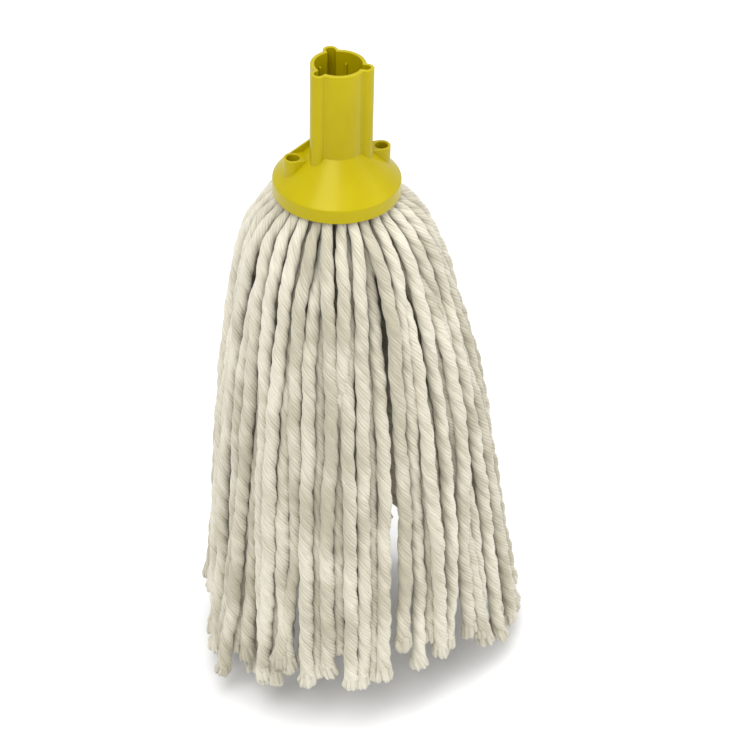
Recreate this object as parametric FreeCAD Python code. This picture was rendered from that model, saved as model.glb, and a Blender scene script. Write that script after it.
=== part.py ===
# String mop head: a yellow plastic handle socket that clamps a bundle of folded cotton yarns.
#
# Frame: the origin is the centre of the socket's mouth, +Z runs up along the handle, and all
# lengths are in millimetres.  The two screw bosses lie on the X axis, and one of the three
# hollow lobes of the tube points along +Y.
import FreeCAD, Part
import math
import os
import random

V = FreeCAD.Vector

# ---- handle tube -------------------------------------------------------------------------
tube_r = 16.0             # outside radius of the round tube
bore_r = 13.6             # radius of the handle bore
lead_in = 7.0             # straight bore above the crush ribs
bore_end_r = 13.1         # the bore narrows to this at its floor
mouth_edge_r = 0.35       # rounding of the mouth's inner edge
bore_depth = 52.0         # mouth to floor
floor_t = 3.0             # thickness of the bore's floor
lobe_count = 3
lobe_first_deg = 90.0
lobe_centre_r = 16.3      # distance of a lobe's centre from the axis
lobe_r = 4.4              # outside radius of a lobe
groove_centre_r = 16.0    # distance of the hollow's centre from the axis
groove_r = 2.6            # inside radius of the hollow in a lobe
ribs_per_sector = 2       # crush ribs between two lobes
rib_spread_deg = 24.0     # a rib's angle from the middle of its sector
rib_w = 1.4               # a rib's crest is a half round of this width
rib_reach_r = 12.3        # radius of the ribs' crests

# ---- cone and skirt ----------------------------------------------------------------------
cone_top_z = -54.0        # where the cone leaves the tube
skirt_r = 37.5            # outside radius of the skirt
skirt_top_z = -74.8
skirt_z = -83.4           # bottom edge of the skirt
shell_t = 2.4             # wall of the cone and the skirt
shoulder_r = 1.6          # rounding between the cone and the skirt
edge_r = 0.6              # rounding of exposed rims

# ---- screw bosses ------------------------------------------------------------------------
boss_x = 26.4             # distance of a screw from the axis
boss_r = 5.5
boss_top_z = -57.6
boss_floor_z = -71.4      # seat of the screw's head
counterbore_r = 3.8
counterbore_lip = 0.5     # chamfer round the counterbore's mouth
screw_hole_r = 2.1
web_t = 1.3               # gusset behind the left boss
web_top_z = -50.5

# ---- retaining plate and screws ----------------------------------------------------------
plate_r = 23.0
plate_t = 2.6
plate_z = -80.4           # underside of the plate
ear_r = 5.6               # the plate's ear under each screw
post_r = 4.2              # threaded post that stands on each ear
post_top_z = -73.4
pilot_r = 1.55            # pilot hole in a post; the thread bites its wall
screw_head_r = 3.4
screw_head_t = 2.2
screw_shank_r = 1.5
screw_end_z = -79.4

# ---- yarn core ---------------------------------------------------------------------------
core_z = -81.0            # underside of the squeezed yarn round the plate

# ---- strings -----------------------------------------------------------------------------
string_d = 6.0            # a string's diameter in its hanging part
tuft_count = 10
tuft_pitch_deg = 360.0 / tuft_count

# The outside of the hanging strings, as the distance of their centre lines from the axis
# towards -X, +X and along Y, at each height.
#            z     left  right  front and back
outline = [(-86.4, 32.0, 32.0, 32.0),
           (-93.4, 41.0, 41.5, 41.0),
           (-104.4, 48.5, 51.5, 49.5),
           (-123.4, 55.5, 61.0, 57.0),
           (-156.0, 61.5, 74.0, 64.0),
           (-209.0, 65.5, 88.5, 70.0),
           (-277.0, 71.0, 101.5, 76.0),
           (-349.0, 74.5, 113.5, 81.0),
           (-440.0, 83.0, 129.0, 87.0)]
upper_points = 5          # a string's route has a point at each of the first heights
lower_runs = 4            # and then this many equal steps down to its tip
tip_z = -408.0            # mean height of the tips
tip_side_drop = 14.0      # they hang this much lower at the sides, and higher front and back

# Each ring's strings lie inside that outline by an inset at each level.
ring_insets = {
    1: [0.0, 0.0, 0.0, 0.0, 0.0, 0.0, 0.0, 0.0, 0.0],
    2: [7.0, 11.9, 10.7, 9.0, 5.0, 1.5, 1.0, 1.0, 1.0],
    3: [13.6, 20.6, 22.4, 19.0, 12.8, 8.8, 7.8, 7.6, 7.5],
    4: [19.7, 27.4, 31.2, 28.6, 23.2, 18.8, 16.6, 16.2, 16.0],
    5: [26.1, 34.2, 39.0, 38.6, 35.6, 32.0, 29.0, 27.5, 27.0],
}
inner_ring_counts = {3: 16, 4: 11, 5: 5}
inner_ring_shifts = {3: 0.0, 4: 0.15, 5: 0.3}   # so that few share a gap
outer_count = 5 * tuft_count
tip_spread = 13.0         # the tips differ in height by up to this, up or down


def warp_deg(angle_deg, depth):
    """Sideways drift of the strings round the mop: they bunch here and part there."""
    a = math.radians(angle_deg)
    slow = 3.0 * math.sin(2 * a + 0.6) + 1.6 * math.sin(5 * a + 2.1 + 1.3 * depth)
    fast = 0.75 * math.sin(9 * a + 0.4 - 2.2 * depth) + 0.35 * math.sin(13 * a + 5.0 * depth)
    return (slow + fast) * depth


def outline_at(z):
    """The outline's three distances at any height."""
    for upper, lower in zip(outline, outline[1:]):
        if z >= lower[0]:
            break
    share = (upper[0] - z) / (upper[0] - lower[0])
    return [u + (v - u) * share for u, v in zip(upper[1:], lower[1:])]


def string_route(ring, start_deg, end_deg, seed):
    """The points that one string's centre line passes, from the skirt to its tip."""
    dice = random.Random(seed)
    tuck = dice.uniform(0.0, 2.6)
    drift = dice.uniform(-0.6, 0.6)
    sway = dice.uniform(0.0, 6.28)
    tip = tip_z - tip_side_drop * math.cos(math.radians(2 * end_deg))
    tip += dice.uniform(-tip_spread, tip_spread)
    heights = [level[0] for level in outline[:upper_points]]
    step = (heights[-1] - tip) / lower_runs
    heights += [heights[-1] - step * (k + 1) for k in range(lower_runs)]
    points = []
    for i, z in enumerate(heights):
        left, right, deep = outline_at(z)
        down = (outline[0][0] - z) / (outline[0][0] - outline[-1][0])
        spread = min(1.0, down * 4.5)
        angle = start_deg + (end_deg - start_deg) * spread
        angle += warp_deg(angle, down) + drift * spread
        wave = 0.9 * math.sin(sway + 2.4 * i) * spread
        inset = ring_insets[ring][i] + tuck * spread + wave
        along_x = (right if math.cos(math.radians(angle)) > 0 else left) - inset
        along_y = deep - inset
        points.append((along_x * math.cos(math.radians(angle)),
                       along_y * math.sin(math.radians(angle)), z))
    return points


def tuft_strings():
    """Every string of the tufts: {node: (tuft, route)}; a tuft has 3 outer and 2 inner ones."""
    found = {}
    outer = []
    reaching = []
    tucked = []
    for tuft in range(1, tuft_count + 1):
        middle = (tuft - 0.5) * tuft_pitch_deg
        for k in (-1, 0, 1):
            outer.append((tuft, 1, middle + 12.0 * k, middle + 14.4 * k))
        reaching.append((tuft, 2, middle - 9.0, middle - 7.2))
        tucked.append((tuft, 2, middle + 9.0, middle + 7.2))
    for number, (tuft, ring, start, end) in enumerate(outer + reaching + tucked, 1):
        found["string_%02d" % number] = (tuft, string_route(ring, start, end, number))
    return found


def inner_strings(ring):
    """The routes of one ring of strings inside the tufts, each behind a gap between two others."""
    count = inner_ring_counts[ring]
    routes = []
    for k in range(count):
        gap = round((k + inner_ring_shifts[ring]) * outer_count / count)
        angle = gap * 360.0 / outer_count
        routes.append(string_route(ring, angle, angle, 100 * ring + k))
    return routes


def corner_radius(before, corner, after):
    """The radius of the arc at one corner: as large as its two runs allow."""
    into = corner - before
    out = after - corner
    turn = into.getAngle(out)
    return 0.45 * min(into.Length, out.Length) / math.tan(turn / 2), turn


def tube(route, diameter):
    """A round tube along straight runs that tangent arcs join, and its smallest arc radius."""
    pts = [V(*p) for p in route]
    edges = []
    here = pts[0]
    smallest = 1e9
    length = 0.0
    for before, corner, after in zip(pts, pts[1:], pts[2:]):
        radius, turn = corner_radius(before, corner, after)
        smallest = min(smallest, radius)
        cut = radius * math.tan(turn / 2)
        into = (corner - before).normalize()
        out = (after - corner).normalize()
        start = corner - into * cut
        end = corner + out * cut
        middle_way = (out - into).normalize()
        middle = corner + middle_way * (radius / math.cos(turn / 2) - radius)
        edges.append(Part.LineSegment(here, start).toShape())
        edges.append(Part.Arc(start, middle, end).toShape())
        length += (start - here).Length + radius * turn
        here = end
    edges.append(Part.LineSegment(here, pts[-1]).toShape())
    length += (pts[-1] - here).Length
    path = Part.Wire(edges)
    ring = Part.Wire([Part.Circle(pts[0], pts[1] - pts[0], diameter / 2).toShape()])
    solid = path.makePipeShell([ring], True, False)
    section = math.pi * diameter * diameter / 4
    if abs(solid.Volume / (section * length) - 1) > 0.01:
        raise ValueError("tube volume %.1f, section times length %.1f" % (solid.Volume, section * length))
    return solid, smallest, length


def cylinder(radius, bottom_z, top_z, x=0.0, y=0.0):
    return Part.makeCylinder(radius, top_z - bottom_z, V(x, y, bottom_z))


def block(x0, x1, y0, y1, z0, z1):
    return Part.makeBox(x1 - x0, y1 - y0, z1 - z0, V(x0, y0, z0))


def turned(profile):
    """A solid of revolution about Z from (radius, z) points, closed along their outline."""
    pts = [V(r, 0, z) for r, z in profile]
    outline = Part.Face(Part.makePolygon(pts + pts[:1]))
    return outline.revolve(V(0, 0, 0), V(0, 0, 1), 360)


def turned_about_z(shape, angle_deg):
    copy = shape.copy()
    copy.rotate(V(0, 0, 0), V(0, 0, 1), angle_deg)
    return copy


def rim_edges(shape, z, min_r=0.0):
    """The edges that lie wholly at one height, beyond a distance from the axis."""
    found = []
    for edge in shape.Edges:
        box = edge.BoundBox
        if abs(box.ZMin - z) > 0.01 or abs(box.ZMax - z) > 0.01:
            continue
        mid = edge.valueAt((edge.FirstParameter + edge.LastParameter) / 2)
        if math.hypot(mid.x, mid.y) >= min_r:
            found.append(edge)
    return found


def cone_r(z):
    """The outside radius of the cone at a height."""
    return tube_r + (skirt_r - tube_r) * (cone_top_z - z) / (cone_top_z - skirt_top_z)


def tube_outside():
    """The tube with its three lobes, filled, with soft hollows where a lobe meets the tube."""
    foot_z = -60.0
    shape = cylinder(tube_r, foot_z, 0.0)
    for k in range(lobe_count):
        a = math.radians(lobe_first_deg + 360.0 * k / lobe_count)
        x = lobe_centre_r * math.cos(a)
        y = lobe_centre_r * math.sin(a)
        shape = shape.fuse(cylinder(lobe_r, foot_z, 0.0, x, y))
    shape = shape.removeSplitter()
    hollows = [e for e in shape.Edges if e.BoundBox.ZLength > 50 and len(e.Vertexes) == 2
               and abs(math.hypot(e.Vertexes[0].X, e.Vertexes[0].Y) - tube_r) < 0.05]
    corners = [e for e in hollows if any(
        abs(math.hypot(e.Vertexes[0].X - lobe_centre_r * math.cos(a),
                       e.Vertexes[0].Y - lobe_centre_r * math.sin(a)) - lobe_r) < 0.05
        for a in [math.radians(lobe_first_deg + 360.0 * k / lobe_count) for k in range(lobe_count)])]
    shape = shape.makeFillet(1.2, corners)
    return shape.makeFillet(edge_r, rim_edges(shape, 0.0))


def cone_outside():
    """The cone and skirt, filled, with a rounded shoulder."""
    shape = turned([(0, cone_top_z), (tube_r, cone_top_z), (skirt_r, skirt_top_z),
                    (skirt_r, skirt_z), (0, skirt_z)])
    shape = shape.makeFillet(shoulder_r, rim_edges(shape, skirt_top_z, min_r=30))
    return shape.makeFillet(edge_r, rim_edges(shape, skirt_z, min_r=30))


def boss_outside(side):
    """A screw boss whose flat top runs inwards until the cone rises through it."""
    low_z = skirt_top_z + 1.0
    shape = cylinder(boss_r, low_z, boss_top_z, side * boss_x)
    x0, x1 = sorted((side * boss_x, side * (tube_r - 1.0)))
    shape = shape.fuse(block(x0, x1, -boss_r, boss_r, low_z, boss_top_z)).removeSplitter()
    return shape.makeFillet(0.5, rim_edges(shape, boss_top_z, min_r=tube_r + 0.5))


def boss_web():
    """The thin gusset from the back of the left boss up to the tube."""
    outline = [V(-boss_x - 1.5, 0, boss_top_z - 0.6), V(-tube_r + 2, 0, web_top_z + 0.9),
               V(-tube_r + 2, 0, -66), V(-boss_x - 1.5, 0, -66)]
    face = Part.Face(Part.makePolygon(outline + outline[:1]))
    web = face.extrude(V(0, web_t, 0))
    web.translate(V(0, boss_r - web_t, 0))
    return web


def crush_rib(low_z):
    """One rib on the bore's +X side, with a round crest and a round upper end."""
    crest_r = rib_reach_r + rib_w / 2
    top_z = -lead_in - rib_w / 2
    rib = block(crest_r, bore_r + 1, -rib_w / 2, rib_w / 2, low_z, -lead_in)
    rib = rib.fuse(cylinder(rib_w / 2, low_z, top_z, crest_r))
    return rib.fuse(Part.makeSphere(rib_w / 2, V(crest_r, 0, top_z)))


def handle_bore():
    """What the handle's bore takes away, with the hollows of the lobes and without the ribs."""
    low_z = -bore_depth
    shape = cylinder(bore_r, -lead_in, 1.0)
    taper = Part.makeCone(bore_end_r, bore_r, bore_depth - lead_in, V(0, 0, low_z))
    shape = shape.fuse(taper)
    for k in range(lobe_count):
        groove = cylinder(groove_r, low_z, 1.0, groove_centre_r)
        slot = block(bore_end_r - 4, groove_centre_r, -groove_r, groove_r, low_z, 1.0)
        cut = groove.fuse(slot)
        shape = shape.fuse(turned_about_z(cut, lobe_first_deg + 360.0 * k / lobe_count))
    for k in range(lobe_count):
        middle = lobe_first_deg + 360.0 * (k + 0.5) / lobe_count
        for j in range(ribs_per_sector):
            angle = middle + rib_spread_deg * (2 * j - 1)
            shape = shape.cut(turned_about_z(crush_rib(low_z), angle))
    return shape


def socket_body():
    """The moulded socket: tube, cone, skirt, bosses and web, hollow for the handle and yarns."""
    body = cone_outside().fuse(tube_outside())
    for side in (-1, 1):
        body = body.fuse(boss_outside(side))
    body = body.fuse(boss_web())
    bore = handle_bore()
    body = body.cut(bore)
    mouth = [edge for edge in rim_edges(body, 0.0) if bore.distToShape(edge)[0] < 0.01]
    body = body.makeFillet(mouth_edge_r, mouth)
    under_floor_z = -bore_depth - floor_t
    inside_r = skirt_r - shell_t
    hollow = turned([(0, under_floor_z), (tube_r - shell_t, under_floor_z),
                     (cone_r(skirt_top_z) - shell_t, skirt_top_z - shell_t),
                     (inside_r, skirt_z - 1), (0, skirt_z - 1)])
    for side in (-1, 1):
        hollow = hollow.cut(cylinder(boss_r, boss_floor_z - 1.6, 0.0, side * boss_x))
    body = body.cut(hollow)
    for side in (-1, 1):
        body = body.cut(cylinder(counterbore_r, boss_floor_z, 0.0, side * boss_x))
        body = body.cut(cylinder(screw_hole_r, boss_floor_z - 5, 0.0, side * boss_x))
        lip = Part.makeCone(counterbore_r, counterbore_r + 2 * counterbore_lip, 2 * counterbore_lip,
                            V(side * boss_x, 0, boss_top_z - counterbore_lip))
        body = body.cut(lip)
    return body, hollow


def retaining_plate():
    """The disc that pulls the folded yarns up into the socket, with an ear and post per screw."""
    top_z = plate_z + plate_t
    shape = cylinder(plate_r, plate_z, top_z)
    for side in (-1, 1):
        shape = shape.fuse(cylinder(ear_r, plate_z, top_z, side * boss_x))
        x0, x1 = sorted((0.0, side * boss_x))
        shape = shape.fuse(block(x0, x1, -ear_r, ear_r, plate_z, top_z))
        shape = shape.fuse(cylinder(post_r, plate_z, post_top_z - 0.2, side * boss_x))
    for side in (-1, 1):
        shape = shape.cut(cylinder(pilot_r, plate_z + 1.0, post_top_z + 1, side * boss_x))
    shape = shape.removeSplitter()
    return shape.makeFillet(0.8, rim_edges(shape, plate_z, min_r=plate_r - 1))


def clamp_screws():
    """Two self-tapping pan-head screws with a cross recess."""
    screws = []
    for side in (-1, 1):
        head = cylinder(screw_head_r, boss_floor_z, boss_floor_z + screw_head_t, side * boss_x)
        head = head.makeFillet(0.9, rim_edges(head, boss_floor_z + screw_head_t))
        top_z = boss_floor_z + screw_head_t
        x = side * boss_x
        head = head.cut(block(x - 1.9, x + 1.9, -0.45, 0.45, top_z - 1.2, top_z + 1))
        head = head.cut(block(x - 0.45, x + 0.45, -1.9, 1.9, top_z - 1.2, top_z + 1))
        shank = cylinder(screw_shank_r, screw_end_z + 1.5, boss_floor_z, x)
        point = Part.makeCone(0.4, screw_shank_r, 1.5, V(x, 0, screw_end_z))
        screws.append(head.fuse(shank).fuse(point))
    return screws


def yarn_core(hollow, plate):
    """The folded middles of the yarns, squeezed solid between the socket and the plate."""
    top = cylinder(skirt_r, core_z, 0.0)
    core = hollow.common(top)
    core = core.cut(cylinder(plate_r, core_z - 1, plate_z + plate_t))
    for side in (-1, 1):
        x0, x1 = sorted((0.0, side * (boss_x + 2)))
        core = core.cut(block(x0, x1, -ear_r, ear_r, core_z - 1, plate_z + plate_t))
        core = core.cut(cylinder(ear_r, core_z - 1, plate_z + plate_t, side * boss_x))
        core = core.cut(cylinder(boss_r + 0.1, core_z - 1, 0.0, side * boss_x))
    return core.cut(plate)


def write(node, solids):
    shape = solids[0] if len(solids) == 1 else Part.makeCompound(solids)
    if not shape.isValid():
        raise ValueError(node + " isn't a valid shape")
    shape.exportStep("parts/%s.step" % node)


def write_strings():
    """One file per string of a tuft and one per inner ring; prints each cord's arcs."""
    for node, (tuft, route) in tuft_strings().items():
        solid, smallest, length = tube(route, string_d)
        write(node, [solid])
        print("%s tuft %d length %.0f smallest arc radius %.0f" % (node, tuft, length, smallest))
    for ring in inner_ring_counts:
        made = [tube(route, string_d) for route in inner_strings(ring)]
        write("inner_strings_%d" % (ring - 2), [m[0] for m in made])
        print("inner ring %d smallest arc radius %.0f" % (ring, min(m[1] for m in made)))


os.makedirs("parts", exist_ok=True)
socket, yarn_space = socket_body()
plate_solid = retaining_plate()
write("socket_body", [socket])
write("retaining_plate", [plate_solid])
write("clamp_screws", clamp_screws())
write("yarn_core", [yarn_core(yarn_space, plate_solid)])
write_strings()
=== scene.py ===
"""The looks of a string mop head: a satin yellow handle socket over twisted cotton strings.

The pieces are in metres, in the frame's own axes: the origin is the centre of the socket's mouth
and +Z points up along the handle. The strings' routes are worked out in millimetres.
"""

import math
import random

import bpy
import numpy as np
from mathutils import Matrix, Vector


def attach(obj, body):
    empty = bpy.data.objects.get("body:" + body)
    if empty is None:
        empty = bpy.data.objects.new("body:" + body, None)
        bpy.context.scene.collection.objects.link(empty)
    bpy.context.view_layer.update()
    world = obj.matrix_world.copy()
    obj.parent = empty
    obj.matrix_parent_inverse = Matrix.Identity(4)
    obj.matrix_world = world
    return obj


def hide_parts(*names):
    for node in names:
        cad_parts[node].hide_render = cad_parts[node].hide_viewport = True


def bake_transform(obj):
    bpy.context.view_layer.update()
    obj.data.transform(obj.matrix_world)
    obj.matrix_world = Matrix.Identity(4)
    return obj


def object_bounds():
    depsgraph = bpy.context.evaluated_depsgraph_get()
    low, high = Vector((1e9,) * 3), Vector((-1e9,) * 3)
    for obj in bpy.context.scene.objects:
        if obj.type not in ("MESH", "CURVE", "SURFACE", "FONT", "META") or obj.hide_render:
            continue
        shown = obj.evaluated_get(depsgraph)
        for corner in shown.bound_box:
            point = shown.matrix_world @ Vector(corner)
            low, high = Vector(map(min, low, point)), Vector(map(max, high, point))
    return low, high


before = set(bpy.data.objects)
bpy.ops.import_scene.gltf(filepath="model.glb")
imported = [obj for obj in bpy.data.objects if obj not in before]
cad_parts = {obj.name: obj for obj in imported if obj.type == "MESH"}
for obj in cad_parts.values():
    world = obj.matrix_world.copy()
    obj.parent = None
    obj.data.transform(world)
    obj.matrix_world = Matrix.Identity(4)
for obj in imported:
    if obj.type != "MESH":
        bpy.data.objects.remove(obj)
cad_low, cad_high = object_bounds()
MM = 0.001

# ---- camera ------------------------------------------------------------------------------
CAMERA_AZIMUTH = math.radians(-17.6)
CAMERA_PITCH = math.radians(37.0)
CAMERA_ROLL = math.radians(1.37)
CAMERA_DISTANCE = 1.5
CAMERA_LENS = 120.0
AIM_BELOW_MOUTH = 0.2
AIM_RIGHT = 0.0215
AIM_UP = -0.0113

# ---- stage -------------------------------------------------------------------------------
FLOOR_GAP = 0.01           # the floor lies this far below the CAD model's lowest point
WORLD_LIGHT = 0.80
LAMPS = [("key", (-0.8, -0.9, 1.5), 1.1, 21.0),
         ("fill", (1.4, -0.9, 0.6), 1.4, 9.0),
         ("top", (0.1, -0.1, 1.7), 1.2, 16.0)]      # name, place, size and power

# ---- strings -----------------------------------------------------------------------------
STRING_D = 7.8 * MM        # a hanging string's diameter
SKIN = 1.06                # the skin is this many times as wide, so that the crests stand out
PINCHED = 0.74             # share of the diameter where the skirt squeezes a string
RELAXED = 0.14             # a string loosens and grows by this share down to its tip
FREE_BY = 42 * MM          # a string is at its full diameter this far along
PLIES = 3
PLY_PITCH = 45 * MM        # one full turn of the plies
PLY_OFFSET = 0.31          # a ply's centre, as a share of the string's radius
PLY_R = 0.70               # a ply's radius, as a share of the string's radius
SINGLES = 10               # fine yarns that show on a string's skin
SINGLES_PITCH = 30 * MM    # one full turn of the fine yarns
SINGLES_DEPTH = 0.055      # depth of the lines between them, as a share of the radius
RING_STEP = 1.6 * MM       # distance between the rings of a string's skin
FLARE = 17 * MM            # a string widens over this much of its tip
FLARED = 0.10              # by this share
BARE_TIP = 8.25 * MM       # the twisted skin ends this far above the tip
BRUSH_ROOT = 4 * MM        # and the loose yarns start this far above its end
BRUSH_YARNS = 26           # loose yarns at a tip
INNER_BRUSH_YARNS = 12     # and at the tip of an innermost string
GOLDEN_TURN = 2.39996      # radians between two loose yarns, which spreads them evenly
FUZZ_FIBRES = 50           # fine fibres that stand off a string
FUZZ_R = 0.05 * MM         # a fibre's radius at its root
SPINE_WANDER = 0.6 * MM    # each way, the skin strays up to this far from the string's line
WANDER_WAVES = (33 * MM, 37 * MM)
PLY_WOBBLE = 0.35 * MM     # and goes round it this far with the plies
INNER_STEP = 1.6           # rings of the innermost strings are this many times further apart
UNEVEN = 0.06              # a string is this share thicker or thinner here and there
UNEVEN_WAVE = 21 * MM
PITCH_VARIES = 0.12        # share by which the plies' pitch differs between strings
LAY_VARIES = 0.7           # most radians by which the twist runs ahead or behind
LAY_WAVE = 45 * MM
SKIN_GRAIN = 0.008         # fine roughness of the skin, as a share of the radius
STRING_TINT = 0.8          # most that one string's tint differs from the mean
SINGLE_TINT = 0.45         # and one fine yarn's
TINT_DRIFT = 0.5           # and along a string
TINT_WAVE = 25 * MM
PAINTED_VALLEY_SHADE = 1.3          # painted shade: how much darker the lines between the fine yarns are painted
FIBRE_REACH = 6.5 * MM     # no loose fibre stands further from its string's line

TUFTS = 10
# The outside of the hanging strings, as the distance of their centre lines from the axis
# towards -X, +X and along Y, at each height.
#            z     left  right  front and back
OUTLINE = [(-86.4, 32.0, 32.0, 32.0),
           (-93.4, 41.0, 41.5, 41.0),
           (-104.4, 48.5, 51.5, 49.5),
           (-123.4, 55.5, 61.0, 57.0),
           (-156.0, 61.5, 74.0, 64.0),
           (-209.0, 65.5, 88.5, 70.0),
           (-277.0, 71.0, 101.5, 76.0),
           (-349.0, 74.5, 113.5, 81.0),
           (-440.0, 83.0, 129.0, 87.0)]
UPPER_POINTS = 5           # a string's route has a point at each of the first heights
LOWER_RUNS = 4             # and then this many equal steps down to its tip
TIP_Z = -408.0             # mean height of the tips
TIP_SIDE_DROP = 14.0       # they hang this much lower at the sides, and higher front and back
# Each ring's strings lie inside that outline by an inset at each level.
RING_INSETS = {
    1: [0.0, 0.0, 0.0, 0.0, 0.0, 0.0, 0.0, 0.0, 0.0],
    2: [7.0, 11.9, 10.7, 9.0, 5.0, 1.5, 1.0, 1.0, 1.0],
    3: [13.6, 20.6, 22.4, 19.0, 12.8, 8.8, 7.8, 7.6, 7.5],
    4: [19.7, 27.4, 31.2, 28.6, 23.2, 18.8, 16.6, 16.2, 16.0],
    5: [26.1, 34.2, 39.0, 38.6, 35.6, 32.0, 29.0, 27.5, 27.0],
}
INNER_RING_COUNTS = {3: 16, 4: 11, 5: 5}
INNER_RING_SHIFTS = {3: 0.0, 4: 0.15, 5: 0.3}   # so that few share a gap
OUTER_COUNT = 5 * TUFTS
TIP_SPREAD = 13.0          # a tip hangs up to this much higher or lower
CLAMP_Z = -80.8            # where the strings leave the squeezed yarn
EXIT_LEAN = 0.35           # they lean out by this share of their drop to the skirt's edge

# How the strings lie: each strays from its plain route, and then they settle side by side.
LET_OUT = {1: -2.0, 2: -0.5, 3: 5.5, 4: 11.5, 5: 0.0}  # how far a ring works its way outwards
LET_OUT_BY = [0.0, 0.0, 0.1, 0.4, 0.8, 1.0, 1.0, 1.0, 1.0]   # share of it at each point
STRAY = 5.0                # most sideways, in the middle of the string and again at its tip
EDGE_STRAY = 0.6           # share of that for the strings at a tuft's edges
STRAY_OUT = 2.8            # most outwards or inwards
ROOM = [0.0, 0.0, 5.8, 7.0, 8.0, 8.8, 8.8, 8.6, 8.0]  # strings closer than this push apart
SETTLE_STEPS = 250
SETTLE_PUSH = 0.45         # share of a lack of room that one step mends
FAR_APART = 1000.0         # stands for a string's distance from itself
WANTED_PULL = 0.012        # how strongly a string keeps to its own way while it settles
MOST_MOVED = 11.8          # no point leaves its plain place sideways by more than this
FLICK = 7.0                # a tip bends aside by up to this much


def warp_deg(angle_deg, depth):
    """Sideways drift of the strings round the mop: they bunch here and part there."""
    a = math.radians(angle_deg)
    slow = 3.0 * math.sin(2 * a + 0.6) + 1.6 * math.sin(5 * a + 2.1 + 1.3 * depth)
    fast = 0.75 * math.sin(9 * a + 0.4 - 2.2 * depth) + 0.35 * math.sin(13 * a + 5.0 * depth)
    return (slow + fast) * depth


def outline_at(z):
    """The outline's three distances at any height."""
    for upper, lower in zip(OUTLINE, OUTLINE[1:]):
        if z >= lower[0]:
            break
    share = (upper[0] - z) / (upper[0] - lower[0])
    return [u + (v - u) * share for u, v in zip(upper[1:], lower[1:])]


def string_route(ring, start_deg, end_deg, seed):
    """The control points of one string's centre line, from the skirt to its tip, in mm."""
    dice = random.Random(seed)
    tuck = dice.uniform(0.0, 2.6)
    drift = dice.uniform(-0.6, 0.6)
    sway = dice.uniform(0.0, 6.28)
    tip = TIP_Z - TIP_SIDE_DROP * math.cos(math.radians(2 * end_deg))
    tip += dice.uniform(-TIP_SPREAD, TIP_SPREAD)
    heights = [level[0] for level in OUTLINE[:UPPER_POINTS]]
    step = (heights[-1] - tip) / LOWER_RUNS
    heights += [heights[-1] - step * (k + 1) for k in range(LOWER_RUNS)]
    points = []
    for i, z in enumerate(heights):
        left, right, deep = outline_at(z)
        down = (OUTLINE[0][0] - z) / (OUTLINE[0][0] - OUTLINE[-1][0])
        spread = min(1.0, down * 4.5)
        angle = start_deg + (end_deg - start_deg) * spread
        angle += warp_deg(angle, down) + drift * spread
        wave = 0.9 * math.sin(sway + 2.4 * i) * spread
        inset = RING_INSETS[ring][i] + tuck * spread + wave
        along_x = (right if math.cos(math.radians(angle)) > 0 else left) - inset
        along_y = deep - inset
        points.append((along_x * math.cos(math.radians(angle)),
                       along_y * math.sin(math.radians(angle)), z))
    return points


def tuft_strings():
    """Every string of the tufts: {node: (tuft, route)}; a tuft has 3 outer and 2 inner ones."""
    found = {}
    outer = []
    reaching = []
    tucked = []
    for tuft in range(1, TUFTS + 1):
        middle = (tuft - 0.5) * 360.0 / TUFTS
        for k in (-1, 0, 1):
            outer.append((tuft, 1, middle + 12.0 * k, middle + 14.4 * k))
        reaching.append((tuft, 2, middle - 9.0, middle - 7.2))
        tucked.append((tuft, 2, middle + 9.0, middle + 7.2))
    for number, (tuft, ring, start, end) in enumerate(outer + reaching + tucked, 1):
        found["string_%02d" % number] = (tuft, string_route(ring, start, end, number))
    return found


def inner_strings(ring):
    """The routes of one ring of strings inside the tufts, each behind a gap between two others."""
    count = INNER_RING_COUNTS[ring]
    routes = []
    for k in range(count):
        gap = round((k + INNER_RING_SHIFTS[ring]) * OUTER_COUNT / count)
        angle = gap * 360.0 / OUTER_COUNT
        routes.append(string_route(ring, angle, angle, 100 * ring + k))
    return routes


class String:
    """One hanging string: the node it stands for, the body it belongs to and its route; only the
    head's strings are attached to their body.
    """

    def __init__(self, piece, node, body, ring, route, seed, edge=False):
        self.piece, self.node, self.body = piece, node, body
        self.ring, self.route, self.seed, self.edge = ring, route, seed, edge


def all_strings():
    found = []
    for number, (node, (tuft, route)) in enumerate(tuft_strings().items(), 1):
        outer = number <= 3 * TUFTS
        edge = outer and number % 3 != 2
        found.append(String("yarn_%02d" % number, node, "tuft_%d" % tuft, 1 if outer else 2,
                            route, number, edge))
    for ring in INNER_RING_COUNTS:
        for k, route in enumerate(inner_strings(ring), 1):
            found.append(String("inner_yarn_%d_%02d" % (ring - 2, k),
                                "inner_strings_%d" % (ring - 2), "head", ring, route,
                                1000 * ring + k))
    return found


def stray(string):
    """One string's route as it hangs, before it settles against the others."""
    dice = random.Random(7000 + string.seed)
    across_mid = dice.uniform(-STRAY, STRAY)
    across_tip = dice.uniform(-STRAY, STRAY)
    if string.edge:        # the strings at a tuft's edges stray less, which keeps tufts apart
        across_mid *= EDGE_STRAY
        across_tip *= EDGE_STRAY
    out_mid = dice.uniform(-STRAY_OUT, STRAY_OUT)
    out_tip = dice.uniform(-STRAY_OUT, STRAY_OUT)
    moved = []
    last = len(string.route) - 1
    for i, (x, y, z) in enumerate(string.route):
        down = max(0.0, (i - 2) / (last - 2))
        mid = math.sin(math.pi * min(1.0, down * 1.1))
        tip = down * down
        radius = math.hypot(x, y)
        out = LET_OUT[string.ring] * LET_OUT_BY[i] + out_mid * mid + out_tip * tip
        across = across_mid * mid + across_tip * tip
        ux, uy = x / radius, y / radius
        moved.append([x + ux * out - uy * across, y + uy * out + ux * across, z])
    turn = dice.uniform(0, 2 * math.pi)
    aside = FLICK * dice.uniform(0.15, 1.0) ** 1.5
    moved[-1][0] += math.cos(turn) * aside
    moved[-1][1] += math.sin(turn) * aside
    return moved


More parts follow.
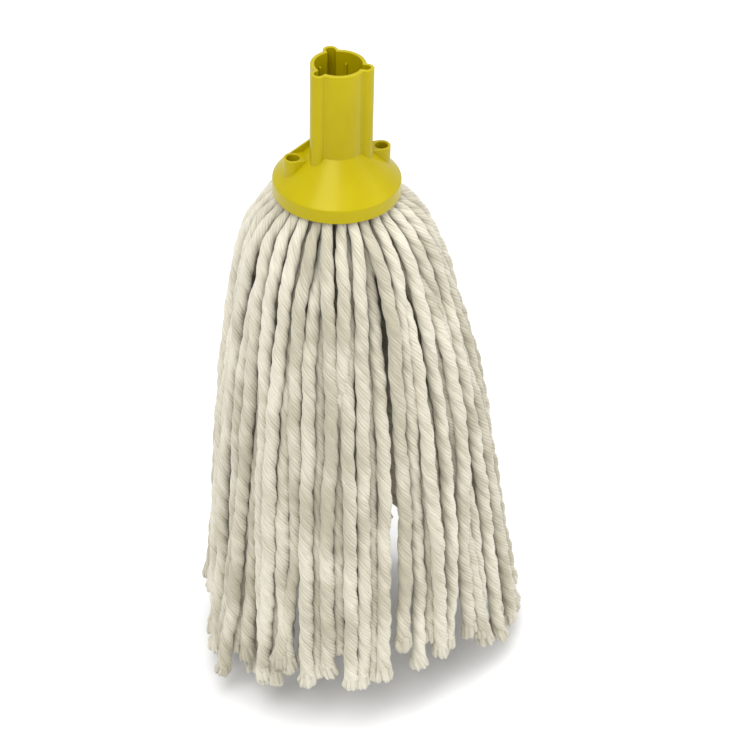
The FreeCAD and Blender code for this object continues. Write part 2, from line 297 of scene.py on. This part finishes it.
def settle(strings):
    """Pushes the strings apart a little at a time, so that they press into each other less."""
    plain = np.array([s.route for s in strings])
    wanted = np.array([stray(s) for s in strings])
    height = plain[:, :, 2]
    lie = plain.copy()      # here each ring's strings lie in order
    for _ in range(SETTLE_STEPS):
        run = np.gradient(lie, axis=1)
        slope = run[:, :, :2] / run[:, :, 2:]
        for i, room in enumerate(ROOM):
            if not room:
                continue
            flat = lie[:, i, :2]
            # Each pair is compared at one height, though their points are at different ones.
            higher = height[:, None, i] - height[None, :, i]
            apart = flat[:, None] - flat[None] - slope[None, :, i] * higher[..., None]
            gap = np.linalg.norm(apart, axis=2)
            np.fill_diagonal(gap, FAR_APART)
            push = np.clip(room - gap, 0, None) * SETTLE_PUSH
            flat = flat + (apart / gap[..., None] * push[..., None]).sum(axis=1)
            flat = flat + (wanted[:, i, :2] - flat) * WANTED_PULL
            moved = flat - plain[:, i, :2]
            far = np.maximum(np.linalg.norm(moved, axis=1, keepdims=True), MOST_MOVED)
            lie[:, i, :2] = plain[:, i, :2] + moved * MOST_MOVED / far
    for string, route in zip(strings, lie):
        string.route = [Vector(point) for point in route]


def make_camera():
    a, e, roll = CAMERA_AZIMUTH, CAMERA_PITCH, CAMERA_ROLL
    back = Vector((math.sin(a) * math.cos(e), -math.cos(a) * math.cos(e), math.sin(e)))
    level_right = Vector((math.cos(a), math.sin(a), 0))
    level_up = back.cross(level_right)
    right = level_right * math.cos(roll) + level_up * math.sin(roll)
    up = back.cross(right)
    aim = Vector((0, 0, -AIM_BELOW_MOUTH)) + level_right * AIM_RIGHT + level_up * AIM_UP
    data = bpy.data.cameras.new("camera")
    data.lens = CAMERA_LENS
    data.sensor_width = 36
    camera = bpy.data.objects.new("camera", data)
    camera.location = aim + back * CAMERA_DISTANCE
    camera.rotation_mode = "QUATERNION"
    camera.rotation_quaternion = Matrix((right, up, back)).transposed().to_quaternion()
    bpy.context.scene.collection.objects.link(camera)
    bpy.context.scene.camera = camera


def centre_line(route):
    """Points along the smooth line whose control points are the route's, in metres, and the exit."""
    first = route[0]
    lift = CLAMP_Z - first.z
    outwards = Vector((first.x, first.y, 0)).normalized()
    top = first - outwards * (EXIT_LEAN * lift) + Vector((0, 0, lift))
    control = [top, *route]
    curve = bpy.data.curves.new("route", "CURVE")
    curve.dimensions = "3D"
    spline = curve.splines.new("NURBS")
    spline.points.add(len(control) - 1)
    for point, place in zip(spline.points, control):
        point.co = (*(place * MM), 1.0)
    spline.order_u = 3
    spline.use_endpoint_u = True
    spline.resolution_u = 24
    holder = bpy.data.objects.new("route", curve)
    bpy.context.scene.collection.objects.link(holder)
    graph = bpy.context.evaluated_depsgraph_get()
    line = bpy.data.meshes.new_from_object(holder.evaluated_get(graph), depsgraph=graph)
    points = np.array([v.co for v in line.vertices])
    bpy.data.meshes.remove(line)
    bpy.data.objects.remove(holder)
    bpy.data.curves.remove(curve)
    return points


def resampled(points, step):
    """Evenly spaced points along a line, and their distances along it."""
    gaps = np.linalg.norm(np.diff(points, axis=0), axis=1)
    along = np.concatenate([[0], np.cumsum(gaps)])
    count = max(3, int(round(along[-1] / step)) + 1)
    at = np.linspace(0, along[-1], count)
    return np.stack([np.interp(at, along, points[:, k]) for k in range(3)], 1), at


def frames_along(points):
    """A tangent and two sideways unit vectors at each point, turning as little as they can."""
    tangents = np.gradient(points, axis=0)
    tangents /= np.linalg.norm(tangents, axis=1, keepdims=True)
    side = np.cross(tangents[0], [0.0, 0.0, 1.0])
    if np.linalg.norm(side) < 1e-3:
        side = np.array([1.0, 0, 0])
    sides = []
    for t in tangents:
        side = side - t * (side @ t)
        side = side / np.linalg.norm(side)
        sides.append(side)
    sides = np.array(sides)
    return tangents, sides, np.cross(tangents, sides)


def smooth_noise(rng, at, wavelength, size):
    """A smooth random curve along a string, with its bends about a wavelength apart."""
    knots = np.arange(0, at[-1] + 3 * wavelength, wavelength)
    values = rng.uniform(-1, 1, len(knots))
    where = at / wavelength
    left = where.astype(int)
    t = where - left
    t = t * t * (3 - 2 * t)
    return size * (values[left] * (1 - t) + values[left + 1] * t)


class MeshParts:
    """Collects tubes into one mesh with a UV map and, at each point, a value for its tone and
    painted shade.
    """

    def __init__(self, first_v=0.0):
        self.points, self.faces, self.uvs, self.tones_and_shades = [], [], [], []
        self.count = 0
        self.first_v = first_v    # each string starts elsewhere in the pattern

    def tube(self, rings, at, tone_and_shade):
        """rings is (n, m, 3); each ring's points run once round the tube."""
        n, m = rings.shape[:2]
        at = at + self.first_v
        base = self.count
        self.points.append(rings.reshape(-1, 3))
        i, j = np.meshgrid(np.arange(n - 1), np.arange(m), indexing="ij")
        nxt = (j + 1) % m
        quads = np.stack([i * m + j, i * m + nxt, (i + 1) * m + nxt, (i + 1) * m + j], -1)
        quads = quads.reshape(-1, 4) + base
        self.faces.extend(quads.tolist())
        u0, u1 = j / m, (j + 1) / m
        v0, v1 = at[i], at[i + 1]
        uv = np.stack([np.stack([u0, v0], -1), np.stack([u1, v0], -1),
                       np.stack([u1, v1], -1), np.stack([u0, v1], -1)], 2)
        self.uvs.append(uv.reshape(-1, 2))
        self.tones_and_shades.append(np.broadcast_to(tone_and_shade, (n, m)).reshape(-1) if np.ndim(tone_and_shade) < 2
                          else np.asarray(tone_and_shade).reshape(-1))
        self.faces.append([base + k for k in range(m - 1, -1, -1)])
        self.faces.append([base + (n - 1) * m + k for k in range(m)])
        ends = np.concatenate([np.stack([np.zeros(m), np.full(m, at[0])], 1),
                               np.stack([np.zeros(m), np.full(m, at[-1])], 1)])
        self.uvs.append(ends)
        self.count += n * m

    def build(self, name):
        mesh = bpy.data.meshes.new(name)
        mesh.from_pydata(np.concatenate(self.points).tolist(), [], self.faces)
        layer = mesh.uv_layers.new(name="yarn")
        layer.data.foreach_set("uv", np.concatenate(self.uvs).astype(np.float32).ravel())
        tone_and_shade = mesh.attributes.new("tone_and_shade", "FLOAT", "POINT")
        tone_and_shade.data.foreach_set("value", np.concatenate(self.tones_and_shades).astype(np.float32))
        mesh.polygons.foreach_set("use_smooth", np.ones(len(mesh.polygons), bool))
        mesh.update()
        piece = bpy.data.objects.new(name, mesh)
        bpy.context.scene.collection.objects.link(piece)
        return piece


def near_line(line, axis, reach):
    """Pulls points in, so that none is further than reach from a string's straight axis there."""
    from_axis = line - axis[0]
    beside = from_axis - np.outer(from_axis @ axis[1], axis[1])
    away = np.linalg.norm(beside, axis=1, keepdims=True)
    return line - beside * np.clip(1 - reach / np.maximum(away, 1e-9), 0, 1)


def strand(parts, line, radii, tone_and_shade, sides):
    """One thin round yarn or fibre along a line."""
    _, a, b = frames_along(line)
    turn = np.linspace(0, 2 * math.pi, sides, endpoint=False)
    ring = a[:, None] * np.cos(turn)[None, :, None] + b[:, None] * np.sin(turn)[None, :, None]
    steps = np.linalg.norm(np.diff(line, axis=0), axis=1)
    at = np.concatenate([[0], np.cumsum(steps)])
    parts.tube(line[:, None] + ring * radii[:, None, None], at, tone_and_shade)


def ply_profile(turn):
    """The skin's radius round a string of three plies, as a share of its radius."""
    third = 2 * math.pi / PLIES
    beside = (turn + third / 2) % third - third / 2
    reach = np.sqrt(PLY_R ** 2 - (PLY_OFFSET * np.sin(beside)) ** 2)
    return PLY_OFFSET * np.cos(beside) + reach


def brush(parts, rng, axis, spine, tangents, side, other, radius, start, tone_and_shade, count):
    """The loose yarns at a tip: they splay from inside the string and end unevenly."""
    t = np.linspace(0, 1, 7)
    base, down = spine[start], tangents[start]
    reach = np.linalg.norm(spine[-1] - base)
    swirl = rng.uniform(-0.9, -0.2)
    spread = rng.uniform(1.05, 1.5)
    lean = side[start] * rng.normal(0, 0.10) + other[start] * rng.normal(0, 0.10)
    follow = spine[np.round(start + t * (len(spine) - 1 - start)).astype(int)] - base
    follow = follow - np.outer(follow @ down, down)
    longest = rng.uniform(0, 2 * math.pi)
    for k in range(count):
        share = math.sqrt((k + 0.5) / count)
        where = GOLDEN_TURN * k + rng.uniform(-0.3, 0.3)
        uneven = 0.10 * share * math.cos(where - longest) + rng.uniform(-0.05, 0.04)
        length = reach * (0.95 - 0.10 * share * share + uneven)
        turned = where + swirl * t
        out = radius * share * (0.76 + (spread - 0.76) * t ** 1.8)
        rim = side[start] * np.cos(turned)[:, None] + other[start] * np.sin(turned)[:, None]
        line = base + follow + np.outer(t * length, down) + rim * out[:, None]
        line = line + np.outer(t * t * length, lean)
        thick = radius * rng.uniform(0.27, 0.34)
        line = near_line(line, axis, FIBRE_REACH - thick)
        radii = thick * (1 + 0.25 * t) * np.sqrt(np.clip(1.03 - t ** 6, 0.03, 1))
        strand(parts, line, radii, tone_and_shade + rng.uniform(-0.5, 0.4), 8)


def fuzz(parts, rng, spine, points, tangents, side, other, width, last):
    """Short fine fibres that stand off the string's skin."""
    t = np.linspace(0, 1, 4)
    for _ in range(FUZZ_FIBRES):
        i = rng.integers(2, last - 2)
        where = rng.uniform(0, 2 * math.pi)
        rim = side[i] * math.cos(where) + other[i] * math.sin(where)
        root = spine[i] + rim * width[i] * 0.42
        aim = rim * rng.uniform(0.2, 0.9) + tangents[i] * rng.uniform(-1.3, 1.3)
        aim = aim / np.linalg.norm(aim)
        bend = np.cross(aim, rng.normal(0, 1, 3))
        length = rng.uniform(1.5, 4.0) * MM
        line = root + np.outer(t * length, aim) + np.outer(t * t * length * 0.4, bend)
        line = near_line(line, (points[i], tangents[i]), FIBRE_REACH)
        strand(parts, line, FUZZ_R * (1 - 0.6 * t), rng.uniform(-0.4, 1.0), 3)


def yarn(string):
    """One hanging string's mesh, with a brush at its tip, and the line it follows."""
    rng = np.random.default_rng(string.seed)
    fine = string.ring <= 3
    step = RING_STEP if fine else INNER_STEP * RING_STEP
    path = centre_line(string.route)
    points, at = resampled(path, step)
    total = at[-1]
    tangents, side, other = frames_along(points)
    free = np.clip(at / FREE_BY, 0, 1)
    free = free * free * (3 - 2 * free)
    flare = np.clip((at - (total - FLARE)) / FLARE, 0, 1) ** 1.5
    radius = SKIN * STRING_D / 2 * (PINCHED + (1 - PINCHED) * free)
    radius = radius * (1 + smooth_noise(rng, at, UNEVEN_WAVE, UNEVEN) + FLARED * flare)
    radius = radius * (1 + RELAXED * at / total)
    plies_pitch = PLY_PITCH * (1 + PITCH_VARIES * rng.uniform(-1, 1))
    lay_noise = smooth_noise(rng, at, LAY_WAVE, LAY_VARIES)
    ply_turn = -2 * math.pi * at / plies_pitch + rng.uniform(0, 6.28) + lay_noise
    singles_turn = -2 * math.pi * at / SINGLES_PITCH + lay_noise
    wander_a, wander_b = [smooth_noise(rng, at, wave, SPINE_WANDER) for wave in WANDER_WAVES]
    drift_a = wander_a + PLY_WOBBLE * np.cos(ply_turn)
    drift_b = wander_b + PLY_WOBBLE * np.sin(ply_turn)
    spine = points + side * drift_a[:, None] + other * drift_b[:, None]
    # The skin's columns follow the fine yarns: each has a crest and a valley, with a flank on
    # both sides of the crest, or in the innermost strings none.
    per_single = 4 if fine else 2
    columns = SINGLES * per_single
    column_turn = np.arange(columns) / columns * 2 * math.pi
    crest = np.array([1.0, 0.62, 0.0, 0.62] if fine else [1.0, 0.0])
    crest = np.tile(crest, SINGLES)
    single_size = np.repeat(rng.uniform(0.75, 1.25, SINGLES), per_single)
    turn = column_turn[None, :] + singles_turn[:, None]
    skin = ply_profile(turn - ply_turn[:, None])
    valley = SINGLES_DEPTH * (1 - crest) * single_size
    skin = skin * (1 - valley[None, :])
    skin = skin * radius[:, None] * (1 + rng.normal(0, SKIN_GRAIN, skin.shape))
    skin = np.minimum(skin, FIBRE_REACH)
    rings = (spine[:, None] + side[:, None] * (skin * np.cos(turn))[..., None]
             + other[:, None] * (skin * np.sin(turn))[..., None])
    keep = at <= total - BARE_TIP
    last = np.flatnonzero(keep)[-1]
    string_tint = rng.uniform(-STRING_TINT, STRING_TINT)
    single_tint = np.repeat(rng.uniform(-SINGLE_TINT, SINGLE_TINT, SINGLES), per_single)
    tint_drift = smooth_noise(rng, at, TINT_WAVE, TINT_DRIFT)
    tone_and_shade = string_tint + single_tint[None, :] + tint_drift[:, None]
    # Painted shade: the lines between the fine yarns are painted darker, on top of each string's and
    # fine yarn's own tone.
    tone_and_shade = tone_and_shade - PAINTED_VALLEY_SHADE * (1 - crest)[None, :]
    parts = MeshParts(0.37 * string.seed)
    parts.tube(rings[keep], at[keep], tone_and_shade[keep])
    start = max(0, last - int(BRUSH_ROOT / step))
    loose = BRUSH_YARNS if fine else INNER_BRUSH_YARNS
    brush(parts, rng, (points[-1], tangents[-1]), spine, tangents, side, other,
          radius[start], start, string_tint, loose)
    if fine:
        fuzz(parts, rng, spine, points, tangents, side, other, 2 * radius, last)
    return parts.build(string.piece), path


def material(name):
    made = bpy.data.materials.new(name)
    made.use_nodes = True
    tree = made.node_tree
    return made, tree, tree.nodes["Principled BSDF"]


def node(tree, kind, **inputs):
    made = tree.nodes.new(kind)
    for key, value in inputs.items():
        made.inputs[key.replace("_", " ")].default_value = value
    return made


FIBRES_ROUND = 34.0        # streaks of the fibre pattern round a string
FIBRES_ALONG = 110.0       # and along each metre of it
COTTON_DARK = (0.44, 0.405, 0.305, 1)
COTTON_MIDDLE = (0.64, 0.605, 0.495, 1)
COTTON_LIGHT = (0.73, 0.70, 0.59, 1)
COTTON_STREAK = (0.70, 0.68, 0.62, 1)
SEED_BROWN = (0.20, 0.15, 0.08, 1)
TONE_AND_SHADE_SHARE = 0.16          # how far a point's tone and painted shade move it between those colours
STREAK_SHARE = 0.75        # how strongly the streaks show
BLACK = (0, 0, 0, 1)
WHITE = (1, 1, 1, 1)
STEEL_DARK = (0.42, 0.42, 0.41, 1)
STEEL_LIGHT = (0.66, 0.66, 0.64, 1)
YELLOW_LOW = (0.35, 0.28, 0.0)
YELLOW_HIGH = (0.41, 0.335, 0.001)
YELLOW_GLINT = (1.0, 0.92, 0.42)
NATURAL_LOW = (0.60, 0.59, 0.54)
NATURAL_HIGH = (0.70, 0.69, 0.64)
NATURAL_GLINT = (1.0, 1.0, 1.0)


def cotton_material():
    """Off-white cotton with twisted fibres, soft colour drift, a few brown seed flecks and painted
    shade in the lines between the fine yarns.
    """
    made, tree, shader = material("cotton")
    link = tree.links.new
    uv = tree.nodes.new("ShaderNodeUVMap")
    uv.uv_map = "yarn"
    # Fibres lie along the fine yarns, which the UV map's second axis follows.
    stretch = tree.nodes.new("ShaderNodeMapping")
    stretch.inputs["Scale"].default_value = (FIBRES_ROUND, FIBRES_ALONG, 1.0)
    link(uv.outputs["UV"], stretch.inputs["Vector"])
    fibres = node(tree, "ShaderNodeTexNoise", Scale=1.0, Detail=3.0, Roughness=0.6)
    link(stretch.outputs[0], fibres.inputs["Vector"])
    spot = tree.nodes.new("ShaderNodeTexCoord")
    drift = node(tree, "ShaderNodeTexNoise", Scale=28.0, Detail=2.0)
    link(spot.outputs["Object"], drift.inputs["Vector"])
    flecks = node(tree, "ShaderNodeTexNoise", Scale=700.0, Detail=1.0)
    link(spot.outputs["Object"], flecks.inputs["Vector"])
    # Each point's value holds the string's own tone and the painted shade in the lines between its
    # fine yarns.
    tone_and_shade = tree.nodes.new("ShaderNodeAttribute")
    tone_and_shade.attribute_name = "tone_and_shade"
    blend = tree.nodes.new("ShaderNodeMath")
    blend.operation = "MULTIPLY_ADD"
    blend.inputs[1].default_value = TONE_AND_SHADE_SHARE
    link(tone_and_shade.outputs["Fac"], blend.inputs[0])
    link(drift.outputs["Fac"], blend.inputs[2])
    ramp = tree.nodes.new("ShaderNodeValToRGB")
    ramp.color_ramp.elements[0].position = 0.22
    ramp.color_ramp.elements[0].color = COTTON_DARK
    ramp.color_ramp.elements[1].position = 0.80
    ramp.color_ramp.elements[1].color = COTTON_LIGHT
    middle = ramp.color_ramp.elements.new(0.52)
    middle.color = COTTON_MIDDLE
    link(blend.outputs[0], ramp.inputs["Fac"])
    streak = tree.nodes.new("ShaderNodeValToRGB")
    streak.color_ramp.elements[0].position = 0.32
    streak.color_ramp.elements[0].color = COTTON_STREAK
    streak.color_ramp.elements[1].position = 0.62
    streak.color_ramp.elements[1].color = WHITE
    link(fibres.outputs["Fac"], streak.inputs["Fac"])
    shade = tree.nodes.new("ShaderNodeMix")
    shade.data_type = "RGBA"
    shade.blend_type = "MULTIPLY"
    shade.inputs["Factor"].default_value = STREAK_SHARE
    link(ramp.outputs["Color"], shade.inputs[6])
    link(streak.outputs["Color"], shade.inputs[7])
    seed = tree.nodes.new("ShaderNodeValToRGB")
    seed.color_ramp.elements[0].position = 0.80
    seed.color_ramp.elements[0].color = BLACK
    seed.color_ramp.elements[1].position = 0.83
    seed.color_ramp.elements[1].color = WHITE
    link(flecks.outputs["Fac"], seed.inputs["Fac"])
    fleck = tree.nodes.new("ShaderNodeMix")
    fleck.data_type = "RGBA"
    fleck.inputs[7].default_value = SEED_BROWN
    link(seed.outputs["Color"], fleck.inputs["Factor"])
    link(shade.outputs[2], fleck.inputs[6])
    link(fleck.outputs[2], shader.inputs["Base Color"])
    bump = node(tree, "ShaderNodeBump", Strength=0.75, Distance=0.0006)
    link(fibres.outputs["Fac"], bump.inputs["Height"])
    link(bump.outputs[0], shader.inputs["Normal"])
    shader.inputs["Roughness"].default_value = 0.92
    shader.inputs["Sheen Weight"].default_value = 0.35
    shader.inputs["Sheen Roughness"].default_value = 0.6
    shader.inputs["Specular IOR Level"].default_value = 0.15
    return made


def plastic_material(name, low, high, roughness, glint):
    """Moulded plastic: a faint drift of colour and gloss, a fine grain and low broad waves."""
    made, tree, shader = material(name)
    link = tree.links.new
    spot = tree.nodes.new("ShaderNodeTexCoord")
    drift = node(tree, "ShaderNodeTexNoise", Scale=22.0, Detail=3.0)
    link(spot.outputs["Object"], drift.inputs["Vector"])
    ramp = tree.nodes.new("ShaderNodeValToRGB")
    ramp.color_ramp.elements[0].position = 0.3
    ramp.color_ramp.elements[0].color = (*low, 1)
    ramp.color_ramp.elements[1].position = 0.7
    ramp.color_ramp.elements[1].color = (*high, 1)
    link(drift.outputs["Fac"], ramp.inputs["Fac"])
    link(ramp.outputs["Color"], shader.inputs["Base Color"])
    grain = node(tree, "ShaderNodeTexNoise", Scale=900.0, Detail=2.0)
    link(spot.outputs["Object"], grain.inputs["Vector"])
    waves = node(tree, "ShaderNodeTexNoise", Scale=70.0, Detail=1.0)
    link(spot.outputs["Object"], waves.inputs["Vector"])
    fine = node(tree, "ShaderNodeBump", Strength=0.06, Distance=0.0003)
    link(grain.outputs["Fac"], fine.inputs["Height"])
    broad = node(tree, "ShaderNodeBump", Strength=0.10, Distance=0.001)
    link(waves.outputs["Fac"], broad.inputs["Height"])
    link(fine.outputs[0], broad.inputs["Normal"])
    link(broad.outputs[0], shader.inputs["Normal"])
    rough = tree.nodes.new("ShaderNodeMapRange")
    rough.inputs["To Min"].default_value = roughness - 0.05
    rough.inputs["To Max"].default_value = roughness + 0.09
    link(drift.outputs["Fac"], rough.inputs["Value"])
    link(rough.outputs[0], shader.inputs["Roughness"])
    shader.inputs["Specular IOR Level"].default_value = 0.32
    shader.inputs["Specular Tint"].default_value = (*glint, 1)
    return made


def steel_material():
    """Zinc-plated steel with a fine mottle."""
    made, tree, shader = material("zinc_steel")
    link = tree.links.new
    spot = tree.nodes.new("ShaderNodeTexCoord")
    marks = node(tree, "ShaderNodeTexNoise", Scale=600.0, Detail=2.0)
    link(spot.outputs["Object"], marks.inputs["Vector"])
    ramp = tree.nodes.new("ShaderNodeValToRGB")
    ramp.color_ramp.elements[0].color = STEEL_DARK
    ramp.color_ramp.elements[1].color = STEEL_LIGHT
    link(marks.outputs["Fac"], ramp.inputs["Fac"])
    link(ramp.outputs["Color"], shader.inputs["Base Color"])
    shader.inputs["Metallic"].default_value = 1.0
    shader.inputs["Roughness"].default_value = 0.38
    return made


def give(piece, made):
    piece.data.materials.clear()
    piece.data.materials.append(made)


def make_strings(cotton):
    """The hanging strings, settled, made and given the cotton, each in place of its CAD node; the
    inner strings are attached to the head, and the tufts' strings stay in place.
    """
    strings = all_strings()
    settle(strings)
    for number, string in enumerate(strings, 1):
        piece, path = yarn(string)
        give(piece, cotton)
        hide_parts(string.node)
        if string.body == "head":
            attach(piece, "head")
        else:
            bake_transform(piece)


def make_stage():
    """A pale floor under the hanging tips and soft studio light."""
    bpy.ops.mesh.primitive_plane_add(size=30, location=(0, 0, cad_low.z - FLOOR_GAP))
    floor = bpy.context.object
    floor.name = "floor"
    made, _, shader = material("floor")
    shader.inputs["Base Color"].default_value = (0.92, 0.92, 0.92, 1)
    shader.inputs["Roughness"].default_value = 0.9
    give(floor, made)
    bpy.context.scene.view_settings.view_transform = "Standard"
    world = bpy.data.worlds.new("world")
    bpy.context.scene.world = world
    world.use_nodes = True
    world.node_tree.nodes["Background"].inputs[0].default_value = (1, 1, 1, 1)
    world.node_tree.nodes["Background"].inputs[1].default_value = WORLD_LIGHT
    for name, place, size, power in LAMPS:
        data = bpy.data.lights.new(name, "AREA")
        data.size = size
        data.energy = power
        lamp = bpy.data.objects.new(name, data)
        lamp.location = place
        aim = Vector((0, 0, -AIM_BELOW_MOUTH)) - Vector(place)
        lamp.rotation_mode = "QUATERNION"
        lamp.rotation_quaternion = aim.to_track_quat("-Z", "Y")
        bpy.context.scene.collection.objects.link(lamp)


make_camera()
cotton = cotton_material()
make_strings(cotton)
yellow = plastic_material("yellow_plastic", YELLOW_LOW, YELLOW_HIGH, 0.28, YELLOW_GLINT)
natural = plastic_material("natural_plastic", NATURAL_LOW, NATURAL_HIGH, 0.5, NATURAL_GLINT)
give(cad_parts["socket_body"], yellow)
give(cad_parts["retaining_plate"], natural)
give(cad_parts["clamp_screws"], steel_material())
give(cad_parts["yarn_core"], cotton)
make_stage()
